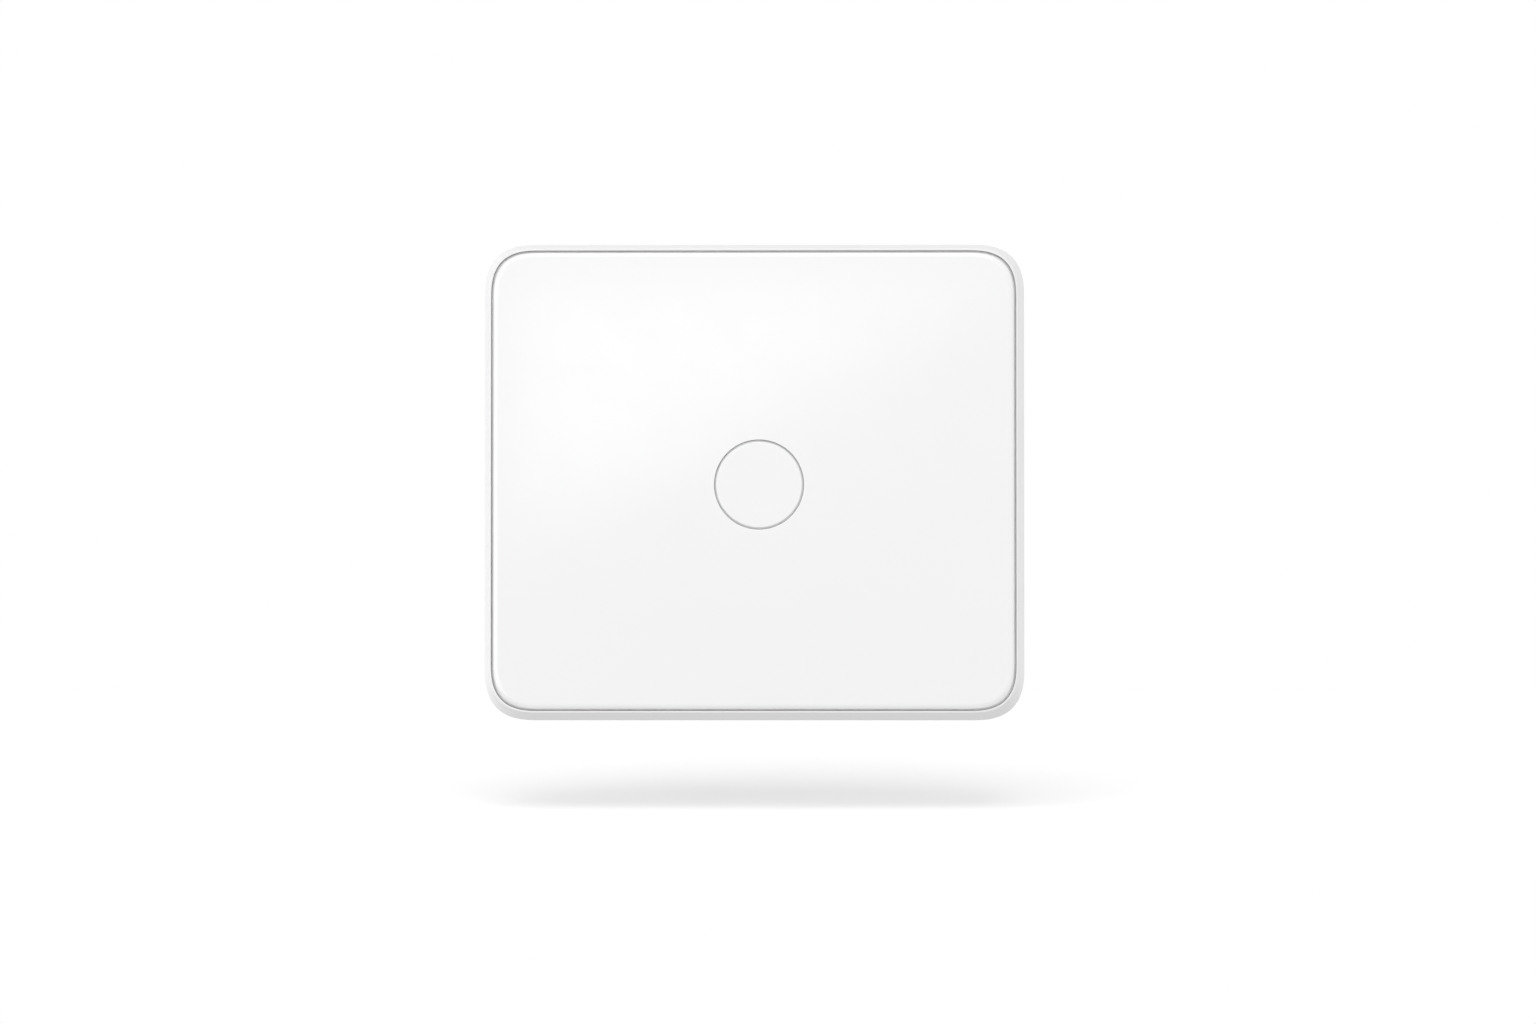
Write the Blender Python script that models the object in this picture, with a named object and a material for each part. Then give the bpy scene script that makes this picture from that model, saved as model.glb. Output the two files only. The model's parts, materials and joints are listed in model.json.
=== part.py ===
"""Smart home hub: a flat white wall or table gateway with one round button.

The hub hangs upright against a wall. +X is right as seen from the room, +Z is up and the front faces -Y.
The origin lies on the wall plane, midway between the two wall screws that the hub hangs on.

Every size below is in millimetres, and MM turns it into Blender's metres. A place inside the hub is
(x, height, z): x and z from the middle of the housing, and height away from the wall.
"""

from math import cos, pi, radians, sin

import bmesh
import bpy
from mathutils import Matrix, Vector

MM = 0.001

# Driving dimensions
WIDTH = 118.0
HEIGHT = 104.0
DEPTH = 26.0
GAP = 0.3  # air between pieces that touch on the real object
SEAM = 0.4  # visible gaps, round the front panel, the button and the rear cover
SEAT_Z = 26.0  # the wall screws' shanks, above the middle of the housing
KEYHOLE_SPACING = 60.0
HEAD_DROP = 7.0  # a wall screw's head goes in this far below its seat
HEAD_RADIUS = 4.2
SLOT_HALF = 2.3
POCKET_TOP = 7.6  # how deep a wall screw's head may reach behind the cover

# Outline: a rounded rectangle with superellipse corners
CORNER = 11.8  # how far a corner reaches along each side at the widest contour
CORNER_LOSS = 0.6  # how much that reach shrinks for each millimetre of inset
CORNER_POWER = 2.75
CORNER_STEPS = 8

# Heights above the wall plane
COVER_BACK = 1.0  # the feet stand this proud of the rear cover
COVER_THICK = 2.0
COVER_LIP = 6.0
RIM_BACK = 1.2
WIDEST = 7.5
RIM_FRONT = 25.6
DECK_FRONT = 23.5
DECK_BACK = 21.7
PANEL_BACK = DECK_FRONT + GAP
BOARD_FRONT = 18.4
BOARD_BACK = 16.8

# Insets from the widest contour
UNDERCUT = 3.2
FLARE = 1.75
OPENING = 2.15  # the recess in the shell that holds the front panel
SHELL_INNER = 3.4
REAR_OPENING = 4.6
COVER_EDGE = REAR_OPENING + SEAM
COVER_LIP_INNER = COVER_EDGE + 1.6
PANEL_EDGE = OPENING + SEAM
PANEL_FILLET = 1.2

# The button, a little right of and below the middle of the front panel
BUTTON_X = 1.2
BUTTON_Z = -0.9
CAP_RADIUS = 9.3
NECK_OUTER = 8.3
NECK_INNER = 7.2
GUIDE_INNER = 8.9
GUIDE_OUTER = 12.4
GUIDE_FLANGE = 14.2
GUIDE_SEAT = 22.2  # the step in the deck's hole that the flange rests in
LED_CIRCLE = 10.9
LED_ANGLES = (90, 210, 330)
HOOK_ANGLES = (30, 150, 270)
HOOK_REACH = 9.7
SWITCH_TOP = 21.2
PLUNGER_TOP = 22.0
PLUNGER_BOTTOM = 20.0

# Fastenings
BOSS_X, BOSS_Z = 44.0, 38.0  # housing screws, each under a foot
POST_X, POST_Z = 34.0, 36.0  # board screws
BOARD_HALF_X, BOARD_HALF_Z = 38.0, 40.0
RADIO_BACK = 13.4
ANTENNA_Z = 44.8
ANTENNA_FORKS = (12.0, -5.0, -22.0)
FOOT_RADIUS = 5.0
FOOT_THICK = 1.5
LABEL_HALF, LABEL_BOTTOM, LABEL_TOP = 22.5, -10.5, 8.5
LABEL_RECESS = 0.5  # the label's recess is this much larger all round
VENTS, VENT_PITCH, VENT_WIDTH = 9, 4.4, 1.6
VENT_BOTTOM, VENT_TOP = 32.0, 42.0
CORNER_NAMES = ("upper_right", "upper_left", "lower_left", "lower_right")
CATCHES = ((30, 45), (-30, 45), (30, -45), (-30, -45), (51, 0), (-51, 0))

# The cable bay in the rear cover, and the jacks that open into it
BAY_HALF = 25.0
BAY_TOP = -16.0
BAY_BOTTOM = -44.0
BAY_FLOOR = 14.6
BAY_WALL = 1.6
ETHERNET_X = -11.0
POWER_X = 10.0
JACK_FACE = -15.0
JACK_FRONT_TOP = 14.4  # the jacks' mouths end below the bay's floor
ETHERNET_GROOVE = (6.4, 6.4)  # width and depth
POWER_GROOVE = (4.8, 5.2)
BORE_HEIGHT = 10.0
CONTACTS = 8
CONTACT_PITCH = 1.02

hub = None


# ---------------------------------------------------------------- places and meshes


def place(x, height, z):
    """A place in the hub as a Blender vector, in metres."""
    return Vector((x, -height, z)) * MM


def around(radius, degrees, height):
    """A place on a circle about the button's axis."""
    angle = radians(degrees)
    return (BUTTON_X + radius * cos(angle), height, BUTTON_Z + radius * sin(angle))


def corners_of(x, z):
    """The four places that mirror (x, z) about both middles, in the order of CORNER_NAMES."""
    return [(x, z), (-x, z), (-x, -z), (x, -z)]


def outline(inset):
    """(x, z) points of the housing's outline, this far inside its widest contour."""
    reach = CORNER - CORNER_LOSS * inset
    middle_x = WIDTH / 2 - inset - reach
    middle_z = HEIGHT / 2 - inset - reach
    quarter = []
    for step in range(CORNER_STEPS + 1):
        turn = pi / 2 * step / CORNER_STEPS
        across = reach * max(cos(turn), 0.0) ** (2 / CORNER_POWER)
        up = reach * sin(turn) ** (2 / CORNER_POWER)
        quarter.append((middle_x + across, middle_z + up))
    back = quarter[::-1]
    return (
        quarter
        + [(-x, z) for x, z in back]
        + [(-x, -z) for x, z in quarter]
        + [(x, -z) for x, z in back]
    )


def add_loft(bm, sections):
    """Skins a run of (inset, height) outlines, and closes its two ends."""
    rings = [[bm.verts.new(place(x, height, z)) for x, z in outline(inset)] for inset, height in sections]
    for ring, following in zip(rings, rings[1:]):
        count = len(ring)
        for i in range(count):
            j = (i + 1) % count
            bm.faces.new((ring[i], ring[j], following[j], following[i]))
    bm.faces.new(rings[0])
    bm.faces.new(rings[-1])
    bmesh.ops.recalc_face_normals(bm, faces=bm.faces)


def add_box(bm, low, high):
    """A box between two places."""
    a, b = place(*low), place(*high)
    size = [abs(p - q) for p, q in zip(a, b)]
    bmesh.ops.create_cube(bm, size=1, matrix=Matrix.Translation((a + b) / 2) @ Matrix.Diagonal((*size, 1)))


def add_rod(bm, start, end, radius, segments=24):
    """A cylinder between two places."""
    a, b = place(*start), place(*end)
    turn = (b - a).to_track_quat("Z", "Y").to_matrix().to_4x4()
    bmesh.ops.create_cone(
        bm,
        cap_ends=True,
        segments=segments,
        radius1=radius * MM,
        radius2=radius * MM,
        depth=(b - a).length,
        matrix=Matrix.Translation((a + b) / 2) @ turn,
    )


def add_turned(bm, x, z, profile, segments=24):
    """Turns a (radius, height) profile about an axis square to the wall, through (x, z).

    A profile either starts and ends on the axis, or closes on itself.
    """
    points = [bm.verts.new(place(x + radius, height, z)) for radius, height in profile]
    edges = [bm.edges.new(pair) for pair in zip(points, points[1:])]
    if profile[0][0] > 0:
        edges.append(bm.edges.new((points[-1], points[0])))
    bmesh.ops.spin(
        bm,
        geom=points + edges,
        cent=place(x, 0, z),
        axis=(0, 1, 0),
        angle=2 * pi,
        steps=segments,
        use_merge=True,
    )
    bmesh.ops.remove_doubles(bm, verts=bm.verts, dist=1e-6)
    bmesh.ops.dissolve_degenerate(bm, dist=1e-7, edges=bm.edges)
    bmesh.ops.recalc_face_normals(bm, faces=bm.faces)


def add_strip(bm, x, width, side):
    """Extrudes a (height, z) side view across this width, centred on x."""
    ring = [bm.verts.new(place(x - width / 2, height, z)) for height, z in side]
    face = bm.faces.new(ring)
    moved = bmesh.ops.extrude_face_region(bm, geom=[face])["geom"]
    shift = Vector((width * MM, 0, 0))
    bmesh.ops.translate(bm, vec=shift, verts=[v for v in moved if isinstance(v, bmesh.types.BMVert)])
    bmesh.ops.recalc_face_normals(bm, faces=bm.faces)


# ---------------------------------------------------------------- objects and materials


def finish(name, colour, roughness, metallic=0.0):
    """A material with one Principled shader."""
    made = bpy.data.materials.new(name)
    made.use_nodes = True
    shader = made.node_tree.nodes["Principled BSDF"]
    shader.inputs["Base Color"].default_value = (*colour, 1)
    shader.inputs["Roughness"].default_value = roughness
    shader.inputs["Metallic"].default_value = metallic
    made.diffuse_color = (*colour, 1)
    return made


def new_object(name, bm, material=None, origin=(0, 0, 0)):
    """An object on the hub's empty, with its own origin. The mesh is given in the hub's places."""
    mesh = bpy.data.meshes.new(name)
    bmesh.ops.translate(bm, vec=-place(*origin), verts=bm.verts)
    bm.to_mesh(mesh)
    bm.free()
    mesh.shade_smooth()
    mesh.set_sharp_from_angle(angle=radians(30))
    if material:
        mesh.materials.append(material)
    made = bpy.data.objects.new(name, mesh)
    bpy.context.scene.collection.objects.link(made)
    made.parent = hub
    made.location = place(*origin)
    return made


def helper(name, build):
    """A shape that only cuts or joins another."""
    bm = bmesh.new()
    build(bm)
    made = new_object(name, bm)
    made.hide_render = True
    made.display_type = "WIRE"
    return made


def combine(target, operation, name, build):
    """Joins a shape to the target, or cuts it out, with a Boolean modifier."""
    modifier = target.modifiers.new(name, "BOOLEAN")
    modifier.operation = operation
    modifier.solver = "EXACT"
    modifier.object = helper(f"{target.name}_{name}", build)


def join(target, name, build):
    combine(target, "UNION", name, build)


def cut(target, name, build):
    combine(target, "DIFFERENCE", name, build)


def chamfer(target, width):
    """Breaks the sharp edges."""
    modifier = target.modifiers.new("chamfer", "BEVEL")
    modifier.width = width * MM
    modifier.segments = 1
    modifier.limit_method = "ANGLE"
    modifier.angle_limit = radians(60)


def solid(name, material, build, origin=(0, 0, 0)):
    """A named piece built by one function."""
    bm = bmesh.new()
    build(bm)
    return new_object(name, bm, material, origin)


# ---------------------------------------------------------------- housing


def shell_wall():
    """(inset, height) of the shell's outside, from its rear rim to its front rim."""
    points = []
    steps = 6
    for step in range(steps + 1):
        turn = pi / 2 * step / steps
        points.append((UNDERCUT * (1 - sin(turn)), WIDEST - (WIDEST - RIM_BACK) * cos(turn)))
    for step in range(1, steps + 1):
        share = step / steps
        points.append((FLARE * share**2, WIDEST + (RIM_FRONT - GAP - WIDEST) * share))
    points.append((FLARE + 0.12, RIM_FRONT - 0.08))
    return points


def shell_bosses(bm):
    for x, z in corners_of(BOSS_X, BOSS_Z):
        add_rod(bm, (x, COVER_LIP + GAP, z), (x, DECK_BACK + 1, z), 3.4, 20)
    for x, z in corners_of(POST_X, POST_Z):
        add_rod(bm, (x, BOARD_FRONT + GAP, z), (x, DECK_BACK + 1, z), 2.6, 16)
    for x in ANTENNA_FORKS:
        add_box(bm, (x - 0.8, RADIO_BACK - 1, ANTENNA_Z - 2), (x + 0.8, DECK_BACK + 1, ANTENNA_Z + 2))


def shell_holes(bm):
    """Pilot holes, the slots for the panel's catches, the button's hole and the cable notches."""
    for x, z in corners_of(BOSS_X, BOSS_Z):
        add_rod(bm, (x, 0, z), (x, 14, z), 1.5, 12)
    for x, z in corners_of(POST_X, POST_Z):
        add_rod(bm, (x, BOARD_FRONT, z), (x, 21.8, z), 1.4, 12)
    for x in ANTENNA_FORKS:
        low, high = (x - 1, RADIO_BACK - 2, ANTENNA_Z - 0.8), (x + 1, RADIO_BACK + 1.3, ANTENNA_Z + 0.8)
        add_box(bm, low, high)
    for x, z in CATCHES:
        half_x, half_z = (1.5, 3.0) if z == 0 else (3.0, 1.5)
        add_box(bm, (x - half_x, DECK_BACK - 1, z - half_z), (x + half_x, DECK_FRONT + 1, z + half_z))
    hole, seat, high = GUIDE_OUTER + 0.4, GUIDE_FLANGE + 0.4, DECK_FRONT + 1
    profile = [(0, DECK_BACK - 1), (hole, DECK_BACK - 1), (hole, GUIDE_SEAT)]
    profile += [(seat, GUIDE_SEAT), (seat, high), (0, high)]
    add_turned(bm, BUTTON_X, BUTTON_Z, profile, 36)
    bottom = -HEIGHT / 2
    for x, (width, depth) in ((ETHERNET_X, ETHERNET_GROOVE), (POWER_X, POWER_GROOVE)):
        add_box(bm, (x - width / 2, 0, bottom - 1), (x + width / 2, depth, bottom + 6))


def make_housing_shell(material):
    inside = [(SHELL_INNER, DECK_BACK), (2.2, WIDEST + 0.5), (REAR_OPENING, 3.6), (REAR_OPENING, RIM_BACK)]
    recess = [(OPENING, RIM_FRONT), (OPENING, DECK_FRONT)]
    shell = solid("housing_shell", material, lambda bm: add_loft(bm, inside + shell_wall() + recess))
    join(shell, "bosses", shell_bosses)
    cut(shell, "holes", shell_holes)


def panel_catches(bm):
    """Snap hooks on the panel's back, each a leg with a barb that grips behind the deck."""
    for x, z in CATCHES:
        outward = (1 if x > 0 else -1) if z == 0 else (1 if z > 0 else -1)
        for low, high, inner, outer in ((20.4, 24.4, -0.6, 0.6), (20.4, DECK_BACK - GAP, 0.5, 1.7)):
            a, b = sorted((inner * outward, outer * outward))
            if z == 0:
                add_box(bm, (x + a, low, z - 2.5), (x + b, high, z + 2.5))
            else:
                add_box(bm, (x - 2.5, low, z + a), (x + 2.5, high, z + b))


def make_front_panel(material):
    edge = [(PANEL_EDGE + GAP, PANEL_BACK), (PANEL_EDGE, PANEL_BACK + GAP)]
    steps = 4
    for step in range(steps + 1):
        turn = pi / 2 * step / steps
        edge.append((PANEL_EDGE + PANEL_FILLET * (1 - cos(turn)), DEPTH - PANEL_FILLET * (1 - sin(turn))))
    panel = solid("front_panel", material, lambda bm: add_loft(bm, edge))
    hooks = panel.modifiers.new("catches", "BOOLEAN")
    hooks.operation = "UNION"
    hooks.solver = "EXACT"
    hooks.use_self = True
    hooks.object = helper("front_panel_catches", panel_catches)
    start, end = (BUTTON_X, PANEL_BACK - 1, BUTTON_Z), (BUTTON_X, DEPTH + 1, BUTTON_Z)
    cut(panel, "button_hole", lambda bm: add_rod(bm, start, end, CAP_RADIUS + SEAM, 48))


# ---------------------------------------------------------------- rear cover


def keyhole(bm, x, low, high):
    """A keyhole: a round hole for the screw's head, and above it a slot for its shank."""
    head_z = SEAT_Z - HEAD_DROP
    add_rod(bm, (x, low, head_z), (x, high, head_z), HEAD_RADIUS, 24)
    add_box(bm, (x - SLOT_HALF, low + 0.01, head_z), (x + SLOT_HALF, high - 0.01, SEAT_Z))
    add_rod(bm, (x, low + 0.02, SEAT_Z), (x, high - 0.02, SEAT_Z), SLOT_HALF, 16)


def cover_bosses(bm):
    """Inside the cover: screw bosses, the bay's walls and a closed pocket behind each keyhole."""
    inside = COVER_BACK + COVER_THICK - 0.5
    for x, z in corners_of(BOSS_X, BOSS_Z):
        add_rod(bm, (x, inside, z), (x, COVER_LIP, z), 4.8, 20)
    wall = BAY_WALL
    add_box(
        bm,
        (-BAY_HALF - wall, inside, BAY_BOTTOM - wall - 0.6),
        (BAY_HALF + wall, BAY_FLOOR + wall, BAY_TOP + wall),
    )
    for x in (-KEYHOLE_SPACING / 2, KEYHOLE_SPACING / 2):
        add_box(bm, (x - 6.4, inside, SEAT_Z - 13), (x + 6.4, POCKET_TOP + 1.3, SEAT_Z + 4.6))


def cover_cavities(bm):
    """The bay, the keyholes' pockets and the recesses for the feet, the screws and the label."""
    add_box(bm, (-BAY_HALF, -1, BAY_BOTTOM), (BAY_HALF, BAY_FLOOR, BAY_TOP))
    for x in (-KEYHOLE_SPACING / 2, KEYHOLE_SPACING / 2):
        add_box(bm, (x - 5.0, COVER_BACK + COVER_THICK, SEAT_Z - 11.8), (x + 5.0, POCKET_TOP, SEAT_Z + 3.4))
    for x, z in corners_of(BOSS_X, BOSS_Z):
        profile = [(0, 0), (5.4, 0), (5.4, 1.8), (3.1, 1.8), (3.1, 4.2), (1.6, 4.2), (1.6, 7), (0, 7)]
        add_turned(bm, x, z, profile, 24)
    half, rim = LABEL_HALF + LABEL_RECESS, LABEL_RECESS
    add_box(bm, (-half, 0, LABEL_BOTTOM - rim), (half, 1.6, LABEL_TOP + rim))


def cover_keyholes(bm):
    for x in (-KEYHOLE_SPACING / 2, KEYHOLE_SPACING / 2):
        keyhole(bm, x, 0, COVER_BACK + COVER_THICK + 0.5)


def cover_slots(bm):
    """The jacks' windows, the cable grooves and the vents."""
    add_box(bm, (ETHERNET_X - 8.4, 3.3, BAY_TOP - 0.01), (ETHERNET_X + 8.4, 17, BAY_TOP + 2))
    add_box(bm, (POWER_X - 4.8, 5.2, BAY_TOP - 0.01), (POWER_X + 4.8, 17, BAY_TOP + 2))
    for x, (width, depth) in ((ETHERNET_X, ETHERNET_GROOVE), (POWER_X, POWER_GROOVE)):
        add_box(bm, (x - width / 2, -1, BAY_BOTTOM - 4), (x + width / 2, depth, BAY_BOTTOM + 0.5))
    half = VENT_WIDTH / 2
    for i in range(VENTS):
        x = (i - (VENTS - 1) / 2) * VENT_PITCH
        add_box(bm, (x - half, 0, VENT_BOTTOM), (x + half, 4, VENT_TOP))


def make_rear_cover(material):
    tray = [
        (COVER_EDGE + GAP, COVER_BACK),
        (COVER_EDGE, COVER_BACK + GAP),
        (COVER_EDGE, COVER_LIP),
        (COVER_LIP_INNER, COVER_LIP),
        (COVER_LIP_INNER, COVER_BACK + COVER_THICK),
    ]
    cover = solid("rear_cover", material, lambda bm: add_loft(bm, tray))
    join(cover, "bosses", cover_bosses)
    cut(cover, "cavities", cover_cavities)
    keys = cover.modifiers.new("keyholes", "BOOLEAN")
    keys.operation = "DIFFERENCE"
    keys.solver = "EXACT"
    keys.use_self = True
    keys.object = helper("rear_cover_keyholes", cover_keyholes)
    cut(cover, "slots", cover_slots)


def make_turned_set(name, material, places, profile, segments):
    """The same turned piece at each corner, each a node of its own."""
    for corner, (x, z) in zip(CORNER_NAMES, places):
        solid(f"{name}_{corner}", material, lambda bm: add_turned(bm, x, z, profile, segments), (x, 0, z))


def make_feet(material):
    top = FOOT_RADIUS - 0.4
    profile = [(0, 0), (top, 0), (FOOT_RADIUS, 0.4), (FOOT_RADIUS, FOOT_THICK), (0, FOOT_THICK)]
    make_turned_set("foot", material, corners_of(BOSS_X, BOSS_Z), profile, 24)


def screw_profile(head_radius, head_low, head_high, shank, tip):
    """A pan-head screw with a round drive recess, its head nearest the wall."""
    recess = head_radius * 0.36
    return [
        (0, head_low + 0.9),
        (recess, head_low + 0.9),
        (recess, head_low),
        (head_radius - 0.4, head_low),
        (head_radius, head_low + 0.4),
        (head_radius, head_high),
        (shank, head_high),
        (shank, tip - 0.8),
        (0, tip),
    ]


def make_screws(material):
    housing = screw_profile(2.7, 2.1, 3.9, 1.2, 13.5)
    make_turned_set("housing_screw", material, corners_of(BOSS_X, BOSS_Z), housing, 12)
    board = screw_profile(2.3, 14.9, 16.5, 1.1, 21.2)
    make_turned_set("board_screw", material, corners_of(POST_X, POST_Z), board, 12)


# ---------------------------------------------------------------- button, light guide and switch


def make_button_cap(material):
    disc = [(0, PANEL_BACK), (CAP_RADIUS, PANEL_BACK), (CAP_RADIUS, DEPTH - 0.25)]
    disc += [(CAP_RADIUS - 0.25, DEPTH), (0, DEPTH)]
    origin = (BUTTON_X, DEPTH, BUTTON_Z)
    cap = solid("button_cap", material, lambda bm: add_turned(bm, BUTTON_X, BUTTON_Z, disc, 48), origin)
    low, high = 20.3, PANEL_BACK + 0.5
    neck = [(NECK_INNER, low), (NECK_OUTER, low), (NECK_OUTER, high), (NECK_INNER, high)]
    join(cap, "neck", lambda bm: add_turned(bm, BUTTON_X, BUTTON_Z, neck, 30))

    start, end = (BUTTON_X, PLUNGER_TOP + GAP, BUTTON_Z), (BUTTON_X, PANEL_BACK + 0.6, BUTTON_Z)
    join(cap, "stem", lambda bm: add_rod(bm, start, end, 2.2, 16))

    def hooks(bm):
        """Catches under the light guide, which keep the cap in the panel."""
        inner, outer = BUTTON_X + NECK_INNER + 0.4, BUTTON_X + HOOK_REACH
        for degrees in HOOK_ANGLES:
            first = len(bm.verts)
            add_box(bm, (inner, low + 0.1, BUTTON_Z - 1.5), (outer, low + 0.7, BUTTON_Z + 1.5))
            bm.verts.ensure_lookup_table()
            turn = Matrix.Rotation(-radians(degrees), 3, "Y")
            bmesh.ops.rotate(bm, verts=bm.verts[first:], cent=place(BUTTON_X, 0, BUTTON_Z), matrix=turn)

    join(cap, "hooks", hooks)


def make_light_guide(material):
    ring = [
        (GUIDE_INNER, 21.3),
        (GUIDE_OUTER, 21.3),
        (GUIDE_OUTER, 22.5),
        (GUIDE_FLANGE, 22.5),
        (GUIDE_FLANGE, 23.0),
        (GUIDE_INNER, 23.0),
    ]
    guide = solid("light_guide", material, lambda bm: add_turned(bm, BUTTON_X, BUTTON_Z, ring, 36))

    def legs(bm):
        for degrees in LED_ANGLES:
            add_rod(bm, around(LED_CIRCLE, degrees, 19.8), around(LED_CIRCLE, degrees, 22), 1.3, 12)

    join(guide, "legs", legs)


def make_switch(body_material, plunger_material):
    low = BOARD_FRONT + GAP
    half = 3.1
    corner_a = (BUTTON_X - half, low, BUTTON_Z - half)
    corner_b = (BUTTON_X + half, SWITCH_TOP, BUTTON_Z + half)
    body = solid("switch_body", body_material, lambda bm: add_box(bm, corner_a, corner_b))
    well = (BUTTON_X, PLUNGER_BOTTOM - 0.7, BUTTON_Z)
    cut(body, "well", lambda bm: add_rod(bm, well, (BUTTON_X, SWITCH_TOP + 1, BUTTON_Z), 2.0, 20))
    foot, top = (BUTTON_X, PLUNGER_BOTTOM, BUTTON_Z), (BUTTON_X, PLUNGER_TOP, BUTTON_Z)
    plunger = solid("switch_plunger", plunger_material, lambda bm: add_rod(bm, foot, top, 1.7, 20), top)
    chamfer(plunger, 0.15)


# ---------------------------------------------------------------- board


def board_holes(bm):
    for x, z in corners_of(POST_X, POST_Z):
        add_rod(bm, (x, BOARD_BACK - 1, z), (x, BOARD_FRONT + 1, z), 1.5, 12)


def make_main_board(material):
    low, high = (-BOARD_HALF_X, BOARD_BACK, -BOARD_HALF_Z), (BOARD_HALF_X, BOARD_FRONT, BOARD_HALF_Z)
    board = solid("main_board", material, lambda bm: add_box(bm, low, high))
    cut(board, "screw_holes", board_holes)


def on_front(bm, x, z, width, length, thick):
    """A box on the board's front, the side that faces the room."""
    low = BOARD_FRONT + GAP
    add_box(bm, (x - width / 2, low, z - length / 2), (x + width / 2, low + thick, z + length / 2))


def on_back(bm, x, z, width, length, thick):
    """A box on the board's back, the side that faces the wall."""
    high = BOARD_BACK - GAP
    add_box(bm, (x - width / 2, high - thick, z - length / 2), (x + width / 2, high, z + length / 2))


def make_chips(black, can, ferrite):
    """The packages that are one plain block each: material, side, place, size."""
    blocks = {
        "processor": (black, on_front, (-24, 13), (14, 14, 1.4)),
        "memory_chip": (black, on_front, (-24, -5), (11, 8, 1.1)),
        "flash_chip": (black, on_front, (-24, -17), (8, 6, 1.1)),
        "crystal": (can, on_front, (-9, 24), (5, 3.2, 1.2)),
        "ethernet_transformer": (black, on_back, (ETHERNET_X, 16.5), (12.5, 15, 6)),
        "power_regulator": (black, on_back, (21, 7), (6.5, 7, 1.8)),
        "power_inductor": (ferrite, on_back, (21, -6), (7, 7, 4)),
    }
    for name, (material, side, middle, size) in blocks.items():
        chamfer(solid(name, material, lambda bm, s=side, a=middle, b=size: s(bm, *a, *b)), 0.25)


def make_capacitor_cans(material):
    high = BOARD_BACK - GAP
    radius = 3.15
    profile = [(0, high - 7), (radius - 0.4, high - 7), (radius, high - 6.6), (radius, high), (0, high)]
    for i, z in enumerate((5.0, 13.0)):
        solid(f"capacitor_can_{i + 1}", material, lambda bm: add_turned(bm, POWER_X, z, profile, 20))


def make_status_lights(material):
    """Three lamps on the board, each behind a leg of the light guide."""
    for i, degrees in enumerate(LED_ANGLES):
        x, _, z = around(LED_CIRCLE, degrees, 0)
        lamp = solid(f"status_light_{i + 1}", material, lambda bm: on_front(bm, x, z, 3.2, 2.6, 0.8))
        chamfer(lamp, 0.15)


def make_service_header(material):
    """A row of five pins for the factory's test lead, in the strip that holds them."""
    pitch = 2.54
    x, z = -30.0, -3.0
    high = BOARD_BACK - GAP
    strip = solid("service_header", material, lambda bm: on_back(bm, x, z, 2.5, 5 * pitch, 2.5))

    def pins(bm):
        for i in range(5):
            middle = z + (i - 2) * pitch
            add_box(bm, (x - 0.3, high - 7, middle - 0.3), (x + 0.3, high - 2, middle + 0.3))

    join(strip, "pins", pins)


# ---------------------------------------------------------------- radio


def make_radio(board, can, plastic, wire):
    x, z = 24.5, 24.0
    solid("radio_header", plastic, lambda bm: on_back(bm, x - 5.5, z, 2.0, 14, 1.8))
    low = RADIO_BACK
    solid("radio_board", board, lambda bm: add_box(bm, (x - 7, low, z - 9.5), (x + 7, low + 1.0, z + 9.5)))
    top = low - GAP
    lid_low, lid_high = (x - 4.5, top - 2.2, z - 6), (x + 5.5, top, z + 6)
    lid = solid("radio_shield", can, lambda bm: add_box(bm, lid_low, lid_high))
    chamfer(lid, 0.3)
    make_antenna(wire, (x, low + 0.5, z + 9.5 + GAP))


def make_antenna(material, start):
    """A quarter-wave wire, up from the radio board and along the top of the housing."""
    x, height, z = start
    along = ANTENNA_Z
    route = [(x, z), (x, z + 4), (x, along - 3), (x - 1.2, along - 0.8), (x - 4, along)]
    route += [(x - 4 - 8 * i, along) for i in range(1, 8)]
    last_x = route[-1][0]
    route += [(last_x - 2.8, along - 1.0), (last_x - 4, along - 3.6)]
    route += [(last_x - 4, along - 3.6 - 5 * i) for i in range(1, 3)]
    curve = bpy.data.curves.new("antenna_wire", "CURVE")
    curve.dimensions = "3D"
    curve.bevel_depth = 0.5 * MM
    curve.bevel_resolution = 2
    curve.use_fill_caps = True
    line = curve.splines.new("POLY")
    line.points.add(len(route) - 1)
    for point, (px, pz) in zip(line.points, route):
        point.co = (*place(px, height, pz), 1)
    curve.materials.append(material)
    wire = bpy.data.objects.new("antenna_wire", curve)
    bpy.context.scene.collection.objects.link(wire)
    wire.parent = hub


# ---------------------------------------------------------------- jacks


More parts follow.
